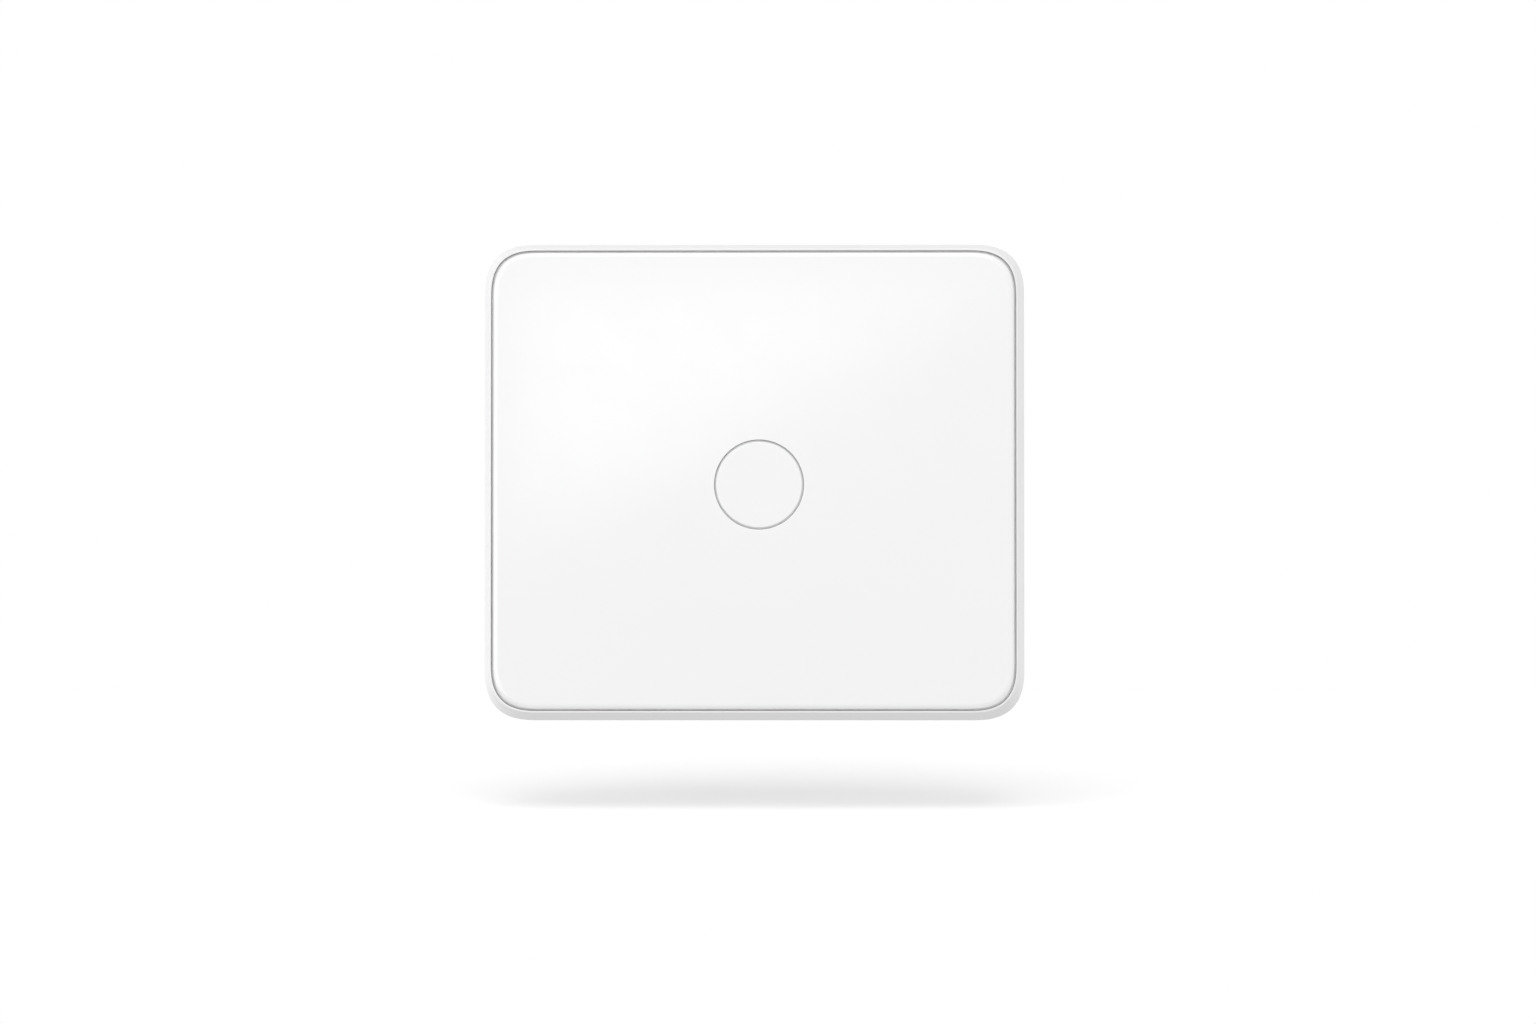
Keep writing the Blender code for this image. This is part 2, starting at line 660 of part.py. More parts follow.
def make_ethernet_jack(shield_metal, plastic, gold, light):
    x = ETHERNET_X
    back = 5.4
    top = BOARD_BACK - GAP
    outer_low, outer_high = (x - 8.1, 3.6, JACK_FACE + 0.2), (x + 8.1, top, back)
    shield = solid("ethernet_jack_shield", shield_metal, lambda bm: add_box(bm, outer_low, outer_high))
    hollow_low, hollow_high = (x - 7.8, 3.9, JACK_FACE - 1), (x + 7.8, top - GAP, back - GAP)
    cut(shield, "hollow", lambda bm: add_box(bm, hollow_low, hollow_high))

    front_low, front_high = (x - 7.5, 4.2, JACK_FACE), (x + 7.5, JACK_FRONT_TOP, back - 2 * GAP)
    core = solid("ethernet_jack_core", plastic, lambda bm: add_box(bm, front_low, front_high))
    base_low = (x - 7.5, JACK_FRONT_TOP - 1, JACK_FACE + 1.2)
    base_high = (x + 7.5, top - 2 * GAP, back - 2 * GAP)
    join(core, "base", lambda bm: add_box(bm, base_low, base_high))

    def socket(bm):
        add_box(bm, (x - 5.9, 6.4, JACK_FACE - 1), (x + 5.9, 13.2, -2.5))

    def keyway(bm):
        add_box(bm, (x - 3.1, 4.9, JACK_FACE - 1.1), (x + 3.1, 7, -5))
        for side in (-1, 1):
            add_box(bm, (x + side * 4.2, 4.6, JACK_FACE - 1.2), (x + side * 6.9, 5.9, JACK_FACE + 4))

    cut(core, "socket", socket)
    cut(core, "keyway", keyway)

    for number, side in ((1, -1), (2, 1)):
        low, high = (x + side * 4.5, 4.9, JACK_FACE), (x + side * 6.6, 5.6, JACK_FACE + 3.7)
        solid(f"ethernet_light_{number}", light, lambda bm: add_box(bm, low, high))

    # Seen from the side: the leg along the socket's roof, and the spring that bends back from the mouth
    leg = [(12.9, JACK_FACE + 1.1), (12.9, -2.9), (12.5, -2.9), (12.5, JACK_FACE + 2.8)]
    spring = [(11.6, -5.6), (11.2, -5.8), (12.3, JACK_FACE + 1.1)]
    for i in range(CONTACTS):
        middle = x + (i - (CONTACTS - 1) / 2) * CONTACT_PITCH
        solid(f"ethernet_contact_{i + 1}", gold, lambda bm: add_strip(bm, middle, 0.45, leg + spring))


def make_power_jack(plastic, metal, spring_metal):
    x = POWER_X
    half = 4.5
    top = BOARD_BACK - GAP
    back = -1.0
    mouth_low, mouth_high = (x - half, 5.5, JACK_FACE), (x + half, JACK_FRONT_TOP, back)
    body = solid("power_jack_body", plastic, lambda bm: add_box(bm, mouth_low, mouth_high))
    base_low, base_high = (x - half, JACK_FRONT_TOP - 1, JACK_FACE + 1.2), (x + half, top, back)
    join(body, "base", lambda bm: add_box(bm, base_low, base_high))
    bore_end = -4.0
    start, end = (x, BORE_HEIGHT, JACK_FACE - 1), (x, BORE_HEIGHT, bore_end)
    cut(body, "bore", lambda bm: add_rod(bm, start, end, 3.2, 28))
    tip, root = (x, BORE_HEIGHT, JACK_FACE + 1.2), (x, BORE_HEIGHT, bore_end - GAP)
    solid("power_jack_pin", metal, lambda bm: add_rod(bm, tip, root, 1.0, 16))
    low = BORE_HEIGHT - 2.9
    root = (low, -4.4), (low + 0.3, -4.4)
    bow = (low + 0.3, -7), (low + 0.9, -9), (low + 0.3, -11), (low + 0.3, -12)
    side = [(low, -12), *root, *bow]
    solid("power_jack_spring", spring_metal, lambda bm: add_strip(bm, x, 1.0, side))


# ---------------------------------------------------------------- the hub


def main():
    global hub
    for obj in list(bpy.data.objects):
        bpy.data.objects.remove(obj)
    hub = bpy.data.objects.new("hub", None)
    bpy.context.scene.collection.objects.link(hub)
    hub.location = place(0, 0, -SEAT_Z)

    gloss_white = finish("gloss_white", (0.87, 0.87, 0.87), 0.12)
    satin_white = finish("satin_white", (0.84, 0.84, 0.85), 0.35)
    matte_white = finish("matte_white", (0.80, 0.80, 0.81), 0.55)
    frosted = finish("frosted", (0.55, 0.56, 0.58), 0.4)
    rubber = finish("rubber", (0.55, 0.56, 0.57), 0.85)
    steel = finish("steel", (0.62, 0.63, 0.65), 0.3, 1.0)
    nickel = finish("nickel", (0.72, 0.71, 0.68), 0.25, 1.0)
    gold = finish("gold", (0.83, 0.66, 0.30), 0.25, 1.0)
    board_green = finish("board_green", (0.03, 0.22, 0.10), 0.4)
    epoxy = finish("epoxy", (0.03, 0.03, 0.035), 0.5)
    black_plastic = finish("black_plastic", (0.025, 0.025, 0.025), 0.45)
    ferrite = finish("ferrite", (0.12, 0.12, 0.13), 0.6)
    aluminium = finish("aluminium", (0.78, 0.79, 0.80), 0.35, 1.0)
    lamp = finish("lamp", (0.85, 0.83, 0.70), 0.3)
    label = finish("label", (0.74, 0.75, 0.76), 0.5)

    make_housing_shell(satin_white)
    make_front_panel(gloss_white)
    make_rear_cover(matte_white)
    make_feet(rubber)
    make_screws(steel)
    film_low, film_high = (-LABEL_HALF, 1.05, LABEL_BOTTOM), (LABEL_HALF, 1.3, LABEL_TOP)
    solid("rating_label", label, lambda bm: add_box(bm, film_low, film_high))

    make_button_cap(gloss_white)
    make_light_guide(frosted)
    make_switch(black_plastic, rubber)

    make_main_board(board_green)
    make_chips(epoxy, nickel, ferrite)
    make_capacitor_cans(aluminium)
    make_status_lights(lamp)
    make_service_header(black_plastic)
    make_radio(board_green, nickel, black_plastic, steel)
    make_ethernet_jack(nickel, black_plastic, gold, lamp)
    make_power_jack(black_plastic, nickel, nickel)


main()
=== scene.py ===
"""The looks of the smart home hub: its white mouldings, sockets and feet, in a plain white studio.

Lengths are in millimetres, and MM turns them into metres. A place on the hub is (x, height, z): x and z from
the middle of the housing, and height away from the wall plane.
"""

import json
from math import asin, cos, pi, radians, sin, tan

import bmesh
import bpy
from mathutils import Matrix, Vector


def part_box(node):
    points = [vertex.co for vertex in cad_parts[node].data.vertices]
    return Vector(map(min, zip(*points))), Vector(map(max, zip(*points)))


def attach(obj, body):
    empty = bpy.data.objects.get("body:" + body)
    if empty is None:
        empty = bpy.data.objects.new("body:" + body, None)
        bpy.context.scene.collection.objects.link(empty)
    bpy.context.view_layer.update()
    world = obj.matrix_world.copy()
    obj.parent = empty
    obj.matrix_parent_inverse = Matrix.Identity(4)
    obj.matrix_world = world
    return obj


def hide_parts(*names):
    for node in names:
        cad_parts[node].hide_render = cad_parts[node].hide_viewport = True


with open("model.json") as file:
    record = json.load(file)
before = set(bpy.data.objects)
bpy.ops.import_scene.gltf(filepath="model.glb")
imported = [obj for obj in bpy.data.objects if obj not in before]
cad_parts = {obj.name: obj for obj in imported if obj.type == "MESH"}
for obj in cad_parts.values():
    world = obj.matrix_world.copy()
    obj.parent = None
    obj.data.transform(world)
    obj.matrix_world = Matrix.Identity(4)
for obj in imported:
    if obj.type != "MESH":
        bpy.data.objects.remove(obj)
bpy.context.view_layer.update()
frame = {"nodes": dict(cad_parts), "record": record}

MM = 0.001
SHARPEST_SMOOTH = radians(32)  # edges that turn by more than this stay sharp

# From the frame
shell_low, shell_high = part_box("housing_shell")
panel_low, panel_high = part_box("front_panel")
button_low, button_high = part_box("button_cap")
cover_low, cover_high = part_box("rear_cover")
MIDDLE_Z = (shell_low.z + shell_high.z) / 2 / MM
WIDTH = (shell_high.x - shell_low.x) / MM
HEIGHT = (shell_high.z - shell_low.z) / MM
DEPTH = -panel_low.y / MM
BUTTON_X = (button_low.x + button_high.x) / 2 / MM
CAP_RADIUS = (button_high.x - button_low.x) / 2 / MM
PANEL_EDGE = (WIDTH - (panel_high.x - panel_low.x) / MM) / 2
COVER_EDGE = (WIDTH - (cover_high.x - cover_low.x) / MM) / 2
RIM_BACK = -shell_high.y / MM
RIM_FRONT = -shell_low.y / MM
COVER_BACK = -cover_high.y / MM

# The outline's corners are superellipses, as in the CAD model
CORNER = 11.8
CORNER_LOSS = 0.6  # how much shorter a corner is for each millimetre further in
CORNER_POWER = 2.75
CORNER_STEPS = 28

# Heights and insets of the housing
SEAM = 0.4
SEAM_LIP = 0.05  # how far each side of the panel's seam reaches into it
WIDEST = 7.5
UNDERCUT = 3.2
FLARE = 1.75
RIM_ROUND, RIM_WIDTH = 0.22, 0.16
OPENING = PANEL_EDGE - SEAM + SEAM_LIP
DECK_FRONT, DECK_BACK = 23.5, 21.7
GUIDE_HOLE = 12.8
GUIDE_FLANGE, GUIDE_SEAT = 14.6, 22.2  # the recess round that hole, and the height of its floor
PANEL_BACK = 23.8
SHELL_INNER = 3.4
WALL_INNER = 2.2
REAR_OPENING = COVER_EDGE - SEAM
REAR_STEP = 3.6
COVER_LIP = 6.0
COVER_PLATE = COVER_BACK + 2.0
COVER_FLANGE = 1.6
COVER_FILLET = 0.5

# The panel and the button. A small step below each one's visible edge keeps its seam from looking black.
BUTTON_Z = -0.9
BUTTON_AXIS = (BUTTON_X, 0, BUTTON_Z)
PANEL_FILLET = 1.2
PANEL_STEP = 24.6
HOLE_LIP = 0.18
CAP_FILLET = 0.2
CAP_DISH = ((0.7, 0.012), (0.35, 0.024), (0.0, 0.028))  # share of the radius, and depth there
BUTTON_STEP = 25.2
STEP_GAP = 0.08
STEP_CHAMFER = 0.2
SKIRT_INNER, SKIRT_OUTER, SKIRT_BACK = 7.2, 8.3, 20.3
STEM_RADIUS, STEM_BACK = 2.2, 22.3

# The back
BOSS_X, BOSS_Z = 44.0, 38.0
FOOT_RADIUS, FOOT_TOP = 5.0, 1.5
FOOT_RECESS, FOOT_SEAT = 5.4, 1.8
KEYHOLE_X = 30.0
SEAT_Z, HEAD_Z = 26.0, 19.0
HEAD_RADIUS, SLOT_HALF = 4.2, 2.3
POCKET_HALF, POCKET_BELOW, POCKET_ABOVE, POCKET_TOP = 5.0, 11.8, 3.4, 7.6
POCKET_SIDE, POCKET_END, POCKET_LID = 1.4, 1.2, 1.3
LABEL_Z, LABEL_HALF_X, LABEL_HALF_Z = -1.0, 22.5, 9.5
LABEL_MARGIN, LABEL_SEAT = 0.5, 1.6
VENTS, VENT_PITCH = 9, 4.4
VENT_Z, VENT_HALF_X, VENT_HALF_Z = 37.0, 0.8, 5.0

# The cable bay and its sockets
BAY_HALF, BAY_TOP, BAY_BOTTOM, BAY_FLOOR, BAY_WALL = 25.0, -16.0, -44.0, 14.6, 1.6
ETHERNET_X, POWER_X = -11.0, 10.0
JACK_FACE = -15.0
JACK_FRONT_TOP, JACK_BACK_TOP = 14.4, 16.5
JACK_SHOULDER = 1.2  # how far behind its face a jack grows to its full height
BORE_HEIGHT = 10.0
GROOVES = ((ETHERNET_X, 3.2, 6.4), (POWER_X, 2.4, 5.2))  # middle, half width, depth
GROOVE_CORNER = 0.8


# ---------------------------------------------------------------- places and meshes


def place(x, height, z):
    """A place on the hub as a vector in the frame, in metres."""
    return Vector((x, -height, z + MIDDLE_Z)) * MM


def eased(points, steps=6):
    """A path through (a, b, radius) points, with each corner that has a radius rounded to it."""
    path = []
    for i, (a, b, radius) in enumerate(points):
        corner = Vector((a, b))
        if radius == 0:
            path.append((a, b))
            continue
        before = (Vector(points[i - 1][:2]) - corner).normalized()
        after = (Vector(points[(i + 1) % len(points)][:2]) - corner).normalized()
        half = before.angle(after) / 2
        centre = corner + (before + after).normalized() * (radius / sin(half))
        first = (corner + before * (radius / tan(half)) - centre).normalized()
        last = (corner + after * (radius / tan(half)) - centre).normalized()
        path += [tuple(centre + first.slerp(last, step / steps) * radius) for step in range(steps + 1)]
    return path


def rounded(half_x, half_z, reach, power=2.0, steps=8):
    """(x, z) points round a rectangle whose corners reach this far along its sides."""
    quarter = []
    for step in range(steps + 1):
        turn = pi / 2 * step / steps
        across = reach * max(cos(turn), 0.0) ** (2 / power)
        up = reach * sin(turn) ** (2 / power)
        quarter.append((half_x - reach + across, half_z - reach + up))
    back = quarter[::-1]
    return (
        quarter
        + [(-x, z) for x, z in back]
        + [(-x, -z) for x, z in quarter]
        + [(x, -z) for x, z in back]
    )


def housing(inset):
    """The housing's outline, this far inside its widest contour."""
    reach = CORNER - CORNER_LOSS * inset
    return rounded(WIDTH / 2 - inset, HEIGHT / 2 - inset, reach, CORNER_POWER, CORNER_STEPS)


def box_outline(x, z, half_x, half_z, radius):
    """A rounded rectangle as a function of its growth."""
    return lambda grow: [
        (x + a, z + b) for a, b in rounded(half_x + grow, half_z + grow, radius + grow)
    ]


def lip_curve(lip, steps=4):
    """(growth, depth) points over a rounded lip, from its outer edge inwards."""
    turns = [pi / 2 * i / steps for i in range(steps + 1)]
    return [(lip * (1 - sin(turn)), lip * (1 - cos(turn))) for turn in turns]


def recess(floor, mouth=COVER_BACK, lip=0.25):
    """(growth, height) sections of a cutter that leaves a rounded lip at its mouth."""
    curve = [(grow, mouth + depth) for grow, depth in lip_curve(lip)]
    return [(lip, mouth - 1.0)] + curve + [(0.0, floor)]


def bridge(bm, loop, following):
    """Joins two rings of vertices with a band of faces."""
    for i in range(len(loop)):
        j = (i + 1) % len(loop)
        bm.faces.new((loop[i], loop[j], following[j], following[i]))


def add_grid(bm, grid):
    """Joins rows of vertices into a sheet."""
    for low, high in zip(grid, grid[1:]):
        for i in range(len(low) - 1):
            bm.faces.new((low[i], low[i + 1], high[i + 1], high[i]))


def add_skin(bm, rings):
    """Skins a run of rings of places, and closes the two ends."""
    loops = [[bm.verts.new(place(*spot)) for spot in ring] for ring in rings]
    for loop, following in zip(loops, loops[1:]):
        bridge(bm, loop, following)
    bm.faces.new(loops[0])
    bm.faces.new(loops[-1])
    bmesh.ops.recalc_face_normals(bm, faces=bm.faces)


def add_housing_loft(bm, sections):
    """Skins (inset, height) outlines of the housing."""
    add_skin(bm, [[(x, height, z) for x, z in housing(inset)] for inset, height in sections])


def add_prism(bm, outline, sections):
    """Skins an outline function of growth over (growth, height) sections, square to the wall."""
    add_skin(bm, [[(x, height, z) for x, z in outline(grow)] for grow, height in sections])


def add_tunnel(bm, outline, sections):
    """Skins an outline function of growth over (growth, z) sections. Its points are (x, height)."""
    add_skin(bm, [[(x, height, z) for x, height in outline(grow)] for grow, z in sections])


def add_turned(bm, middle, profile, segments=64, along="height"):
    """Turns (radius, distance) points about a line through the middle, square to the wall or along z."""
    x, height, z = middle
    rings = []
    for radius, distance in profile:
        ring = []
        for i in range(segments):
            turn = 2 * pi * i / segments
            a, b = max(radius, 1e-4) * cos(turn), max(radius, 1e-4) * sin(turn)
            ring.append((x + a, distance, z + b) if along == "height" else (x + a, height + b, distance))
        rings.append(ring)
    add_skin(bm, rings)


def add_hoop(bm, middle, profile, segments=62):
    """Turns a closed (radius, height) profile about a line through the middle, square to the wall."""
    x, _, z = middle
    turns = [2 * pi * i / segments for i in range(segments)]
    loops = []
    for radius, height in profile:
        loops.append([bm.verts.new(place(x + radius * cos(t), height, z + radius * sin(t))) for t in turns])
    for loop, following in zip(loops, loops[1:] + loops[:1]):
        bridge(bm, loop, following)
    bmesh.ops.recalc_face_normals(bm, faces=bm.faces)


def add_box(bm, low, high):
    """Adds a block between two places."""
    a, b = place(*low), place(*high)
    size = [abs(p - q) for p, q in zip(a, b)]
    bmesh.ops.create_cube(bm, size=1, matrix=Matrix.Translation((a + b) / 2) @ Matrix.Diagonal((*size, 1)))


# ---------------------------------------------------------------- pieces


def new_object(name, build):
    """An object whose mesh is what build adds to an empty bmesh."""
    bm = bmesh.new()
    build(bm)
    mesh = bpy.data.meshes.new(name)
    bm.to_mesh(mesh)
    bm.free()
    made = bpy.data.objects.new(name, mesh)
    bpy.context.scene.collection.objects.link(made)
    return made


def combine(target, operation, build):
    """Joins a shape to the target, or cuts it out, and keeps only the result."""
    tool = new_object(f"{target.name}_tool", build)
    modifier = target.modifiers.new("combine", "BOOLEAN")
    modifier.operation = operation
    modifier.solver = "EXACT"
    modifier.object = tool
    graph = bpy.context.evaluated_depsgraph_get()
    mesh = bpy.data.meshes.new_from_object(target.evaluated_get(graph))
    target.modifiers.clear()
    old = target.data
    target.data = mesh
    bpy.data.meshes.remove(old)
    bpy.data.objects.remove(tool)


def join(target, build):
    combine(target, "UNION", build)


def cut(target, build):
    combine(target, "DIFFERENCE", build)


def piece(target, nodes, material, body="root"):
    """Finishes a piece: shading, material, and the CAD nodes and body it belongs to."""
    target.data.shade_smooth()
    target.data.set_sharp_from_angle(angle=SHARPEST_SMOOTH)
    weighted = target.modifiers.new("flat_faces", "WEIGHTED_NORMAL")
    weighted.keep_sharp = True
    target.data.materials.clear()
    target.data.materials.append(material)
    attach(target, body)
    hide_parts(*nodes)


def recolour(node, material):
    """Gives a CAD node that stays its finished material."""
    target = frame["nodes"][node]
    target.data.materials.clear()
    target.data.materials.append(material)


def shell_wall(steps=14, rim_steps=4):
    """(inset, height) points up the outside of the wall, from its back rim to its front rim."""
    wall = []
    for i in range(steps + 1):
        turn = pi / 2 * i / steps
        wall.append((UNDERCUT * (1 - sin(turn)), WIDEST - (WIDEST - RIM_BACK) * cos(turn)))
    for i in range(1, steps + 1):
        share = i / steps
        wall.append((FLARE * share**2, WIDEST + (RIM_FRONT - RIM_ROUND - WIDEST) * share))
    for i in range(1, rim_steps + 1):
        turn = pi / 2 * i / rim_steps
        wall.append((FLARE + RIM_WIDTH * (1 - cos(turn)), RIM_FRONT - RIM_ROUND * (1 - sin(turn))))
    return wall


def make_shell(material):
    inside = [
        (SHELL_INNER, DECK_BACK),
        (WALL_INNER, WIDEST + 0.5),
        (REAR_OPENING, REAR_STEP),
        (REAR_OPENING, RIM_BACK),
    ]
    front = [(OPENING - 0.06, RIM_FRONT), (OPENING, RIM_FRONT - 0.08), (OPENING, DECK_FRONT)]
    shell = new_object("shell_moulding", lambda bm: add_housing_loft(bm, inside + shell_wall() + front))

    def openings(bm):
        deck = [
            (GUIDE_HOLE, DECK_BACK - 1),
            (GUIDE_HOLE, GUIDE_SEAT),
            (GUIDE_FLANGE, GUIDE_SEAT),
            (GUIDE_FLANGE, DECK_FRONT + 1),
        ]
        add_turned(bm, BUTTON_AXIS, deck)
        for x, half, depth in GROOVES:
            outline = box_outline(x, 0, half, depth, GROOVE_CORNER)
            add_tunnel(bm, outline, [(0.0, -HEIGHT / 2 - 1), (0.0, -HEIGHT / 2 + 6)])

    cut(shell, openings)
    piece(shell, ["housing_shell"], material)


def make_panel(material):
    outer = PANEL_EDGE - SEAM_LIP
    ledge = OPENING + STEP_GAP
    edge = [
        (ledge + STEP_CHAMFER, PANEL_BACK, 0),
        (ledge, PANEL_BACK + STEP_CHAMFER, 0),
        (ledge, PANEL_STEP, 0),
        (outer, PANEL_STEP, 0),
        (outer, DEPTH, PANEL_FILLET),
        (outer + 10, DEPTH, 0),  # only gives the fillet its direction
    ]
    panel = new_object("front_moulding", lambda bm: add_housing_loft(bm, eased(edge, 12)[:-1]))
    hole = CAP_RADIUS + SEAM
    profile = [(hole, PANEL_BACK - 1)]
    profile += [(hole + grow, DEPTH - depth) for grow, depth in lip_curve(HOLE_LIP)[::-1]]
    profile += [(hole + HOLE_LIP, DEPTH + 1)]
    cut(panel, lambda bm: add_turned(bm, BUTTON_AXIS, profile, 128))
    piece(panel, ["front_panel"], material)


def make_button(material):
    ledge = CAP_RADIUS + SEAM - STEP_GAP
    profile = [
        (0, PANEL_BACK, 0),
        (ledge - STEP_CHAMFER, PANEL_BACK, 0),
        (ledge, PANEL_BACK + STEP_CHAMFER, 0),
        (ledge, BUTTON_STEP, 0),
        (CAP_RADIUS, BUTTON_STEP, 0),
        (CAP_RADIUS, DEPTH, CAP_FILLET),
    ]
    profile += [(CAP_RADIUS * share, DEPTH - depth, 0) for share, depth in CAP_DISH]
    cap = new_object("button_moulding", lambda bm: add_turned(bm, BUTTON_AXIS, eased(profile), 128))
    skirt = [
        (SKIRT_INNER, PANEL_BACK + 0.5),
        (SKIRT_INNER, SKIRT_BACK),
        (SKIRT_OUTER, SKIRT_BACK),
        (SKIRT_OUTER, PANEL_BACK + 0.5),
    ]
    stem = [(STEM_RADIUS, PANEL_BACK + 0.6), (STEM_RADIUS, STEM_BACK)]
    join(cap, lambda bm: add_hoop(bm, BUTTON_AXIS, skirt))
    join(cap, lambda bm: add_turned(bm, BUTTON_AXIS, stem, 32))
    piece(cap, ["button_cap"], material, "button")


def keyhole_outline(x):
    """The head's arc from one side of the slot round to the other, then the slot's round end."""

    def points(grow, head_steps=28, slot_steps=12):
        head, slot = HEAD_RADIUS + grow, SLOT_HALF + grow
        start = asin(slot / head)
        turns = [start + (2 * pi - 2 * start) * i / head_steps for i in range(head_steps + 1)]
        arc = [(x + head * sin(turn), HEAD_Z + head * cos(turn)) for turn in turns]
        turns = [pi * i / slot_steps for i in range(slot_steps + 1)]
        return arc + [(x - slot * cos(turn), SEAT_Z + slot * sin(turn)) for turn in turns]

    return points


def make_cover(material):
    edge = [
        (COVER_EDGE + COVER_FLANGE, COVER_PLATE, 0),
        (COVER_EDGE + COVER_FLANGE, COVER_LIP, 0),
        (COVER_EDGE, COVER_LIP, 0),
        (COVER_EDGE, COVER_BACK, COVER_FILLET),
        (COVER_EDGE + 4, COVER_BACK, 0),  # only gives the fillet its direction
    ]
    cover = new_object("rear_moulding", lambda bm: add_housing_loft(bm, eased(edge)[:-1]))

    def walls(bm):
        inside = COVER_PLATE - 0.5
        add_box(
            bm,
            (-BAY_HALF - BAY_WALL, inside, BAY_BOTTOM - BAY_WALL - 0.6),
            (BAY_HALF + BAY_WALL, BAY_FLOOR + BAY_WALL, BAY_TOP + BAY_WALL),
        )
        half = POCKET_HALF + POCKET_SIDE
        for x in (-KEYHOLE_X, KEYHOLE_X):
            low = (x - half, inside, SEAT_Z - POCKET_BELOW - POCKET_END)
            high = (x + half, POCKET_TOP + POCKET_LID, SEAT_Z + POCKET_ABOVE + POCKET_END)
            add_box(bm, low, high)

    def bay(bm):
        middle, half = (BAY_TOP + BAY_BOTTOM) / 2, (BAY_TOP - BAY_BOTTOM) / 2
        add_prism(bm, box_outline(0, middle, BAY_HALF, half, 2.0), recess(BAY_FLOOR, lip=0.5))

    def pockets(bm):
        for x in (-KEYHOLE_X, KEYHOLE_X):
            low = (x - POCKET_HALF, COVER_PLATE, SEAT_Z - POCKET_BELOW)
            add_box(bm, low, (x + POCKET_HALF, POCKET_TOP, SEAT_Z + POCKET_ABOVE))

    def keyholes(bm):
        for x in (-KEYHOLE_X, KEYHOLE_X):
            add_prism(bm, keyhole_outline(x), recess(COVER_PLATE + 0.5))

    def recesses(bm):
        label = box_outline(0, LABEL_Z, LABEL_HALF_X + LABEL_MARGIN, LABEL_HALF_Z + LABEL_MARGIN, 1.8)
        add_prism(bm, label, recess(LABEL_SEAT, lip=0.15))
        for x in (-BOSS_X, BOSS_X):
            for z in (-BOSS_Z, BOSS_Z):
                seat = [(FOOT_RECESS + grow, height) for grow, height in recess(FOOT_SEAT, lip=0.2)]
                add_turned(bm, (x, 0, z), seat)
        for i in range(VENTS):
            x = (i - (VENTS - 1) / 2) * VENT_PITCH
            vent = box_outline(x, VENT_Z, VENT_HALF_X, VENT_HALF_Z, VENT_HALF_X - 0.01)
            add_prism(bm, vent, recess(COVER_PLATE + 1, lip=0.2))

    def cable_ways(bm):
        for x, half, depth in GROOVES:
            outline = box_outline(x, 0, half, depth, GROOVE_CORNER)
            add_tunnel(bm, outline, [(0.0, BAY_BOTTOM - 4), (0.0, BAY_BOTTOM + 0.5)])
        for x, half, low in ((ETHERNET_X, 8.4, 3.3), (POWER_X, 4.8, 5.2)):
            add_box(bm, (x - half, low, BAY_TOP - 0.01), (x + half, 17, BAY_TOP + 2))

    join(cover, walls)
    for tool in (bay, pockets, keyholes, recesses, cable_ways):
        cut(cover, tool)
    piece(cover, ["rear_cover"], material)


def make_feet(material):
    """Rubber discs, each with a shallow ring moulded into its face."""
    profile = [
        (0, 0, 0),
        (3.4, 0, 0),
        (3.5, 0.12, 0),
        (3.9, 0.12, 0),
        (4.0, 0, 0),
        (FOOT_RADIUS, 0, 0.45),
        (FOOT_RADIUS, FOOT_TOP, 0),
        (0, FOOT_TOP, 0),
    ]
    names = {(1, 1): "upper_right", (-1, 1): "upper_left", (-1, -1): "lower_left", (1, -1): "lower_right"}
    for (across, up), name in names.items():
        middle = (BOSS_X * across, 0, BOSS_Z * up)
        foot = new_object(f"rubber_foot_{name}", lambda bm: add_turned(bm, middle, eased(profile), 96))
        piece(foot, [f"foot_{name}"], material)


def make_label(material):
    outline = box_outline(0, LABEL_Z, LABEL_HALF_X, LABEL_HALF_Z, 1.5)
    sections = [(0, LABEL_SEAT - 0.3), (0, COVER_BACK + 0.1), (-0.05, COVER_BACK + 0.05)]
    film = new_object("label_film", lambda bm: add_prism(bm, outline, sections))
    piece(film, ["rating_label"], material)


def mouth(outline, floor, lip=0.3):
    """A builder for a cutter that opens a jack's face down to this floor, with a chamfered lip."""
    sections = [(lip, JACK_FACE - 1), (lip, JACK_FACE), (0, JACK_FACE + lip), (0, floor)]
    return lambda bm: add_tunnel(bm, outline, sections)


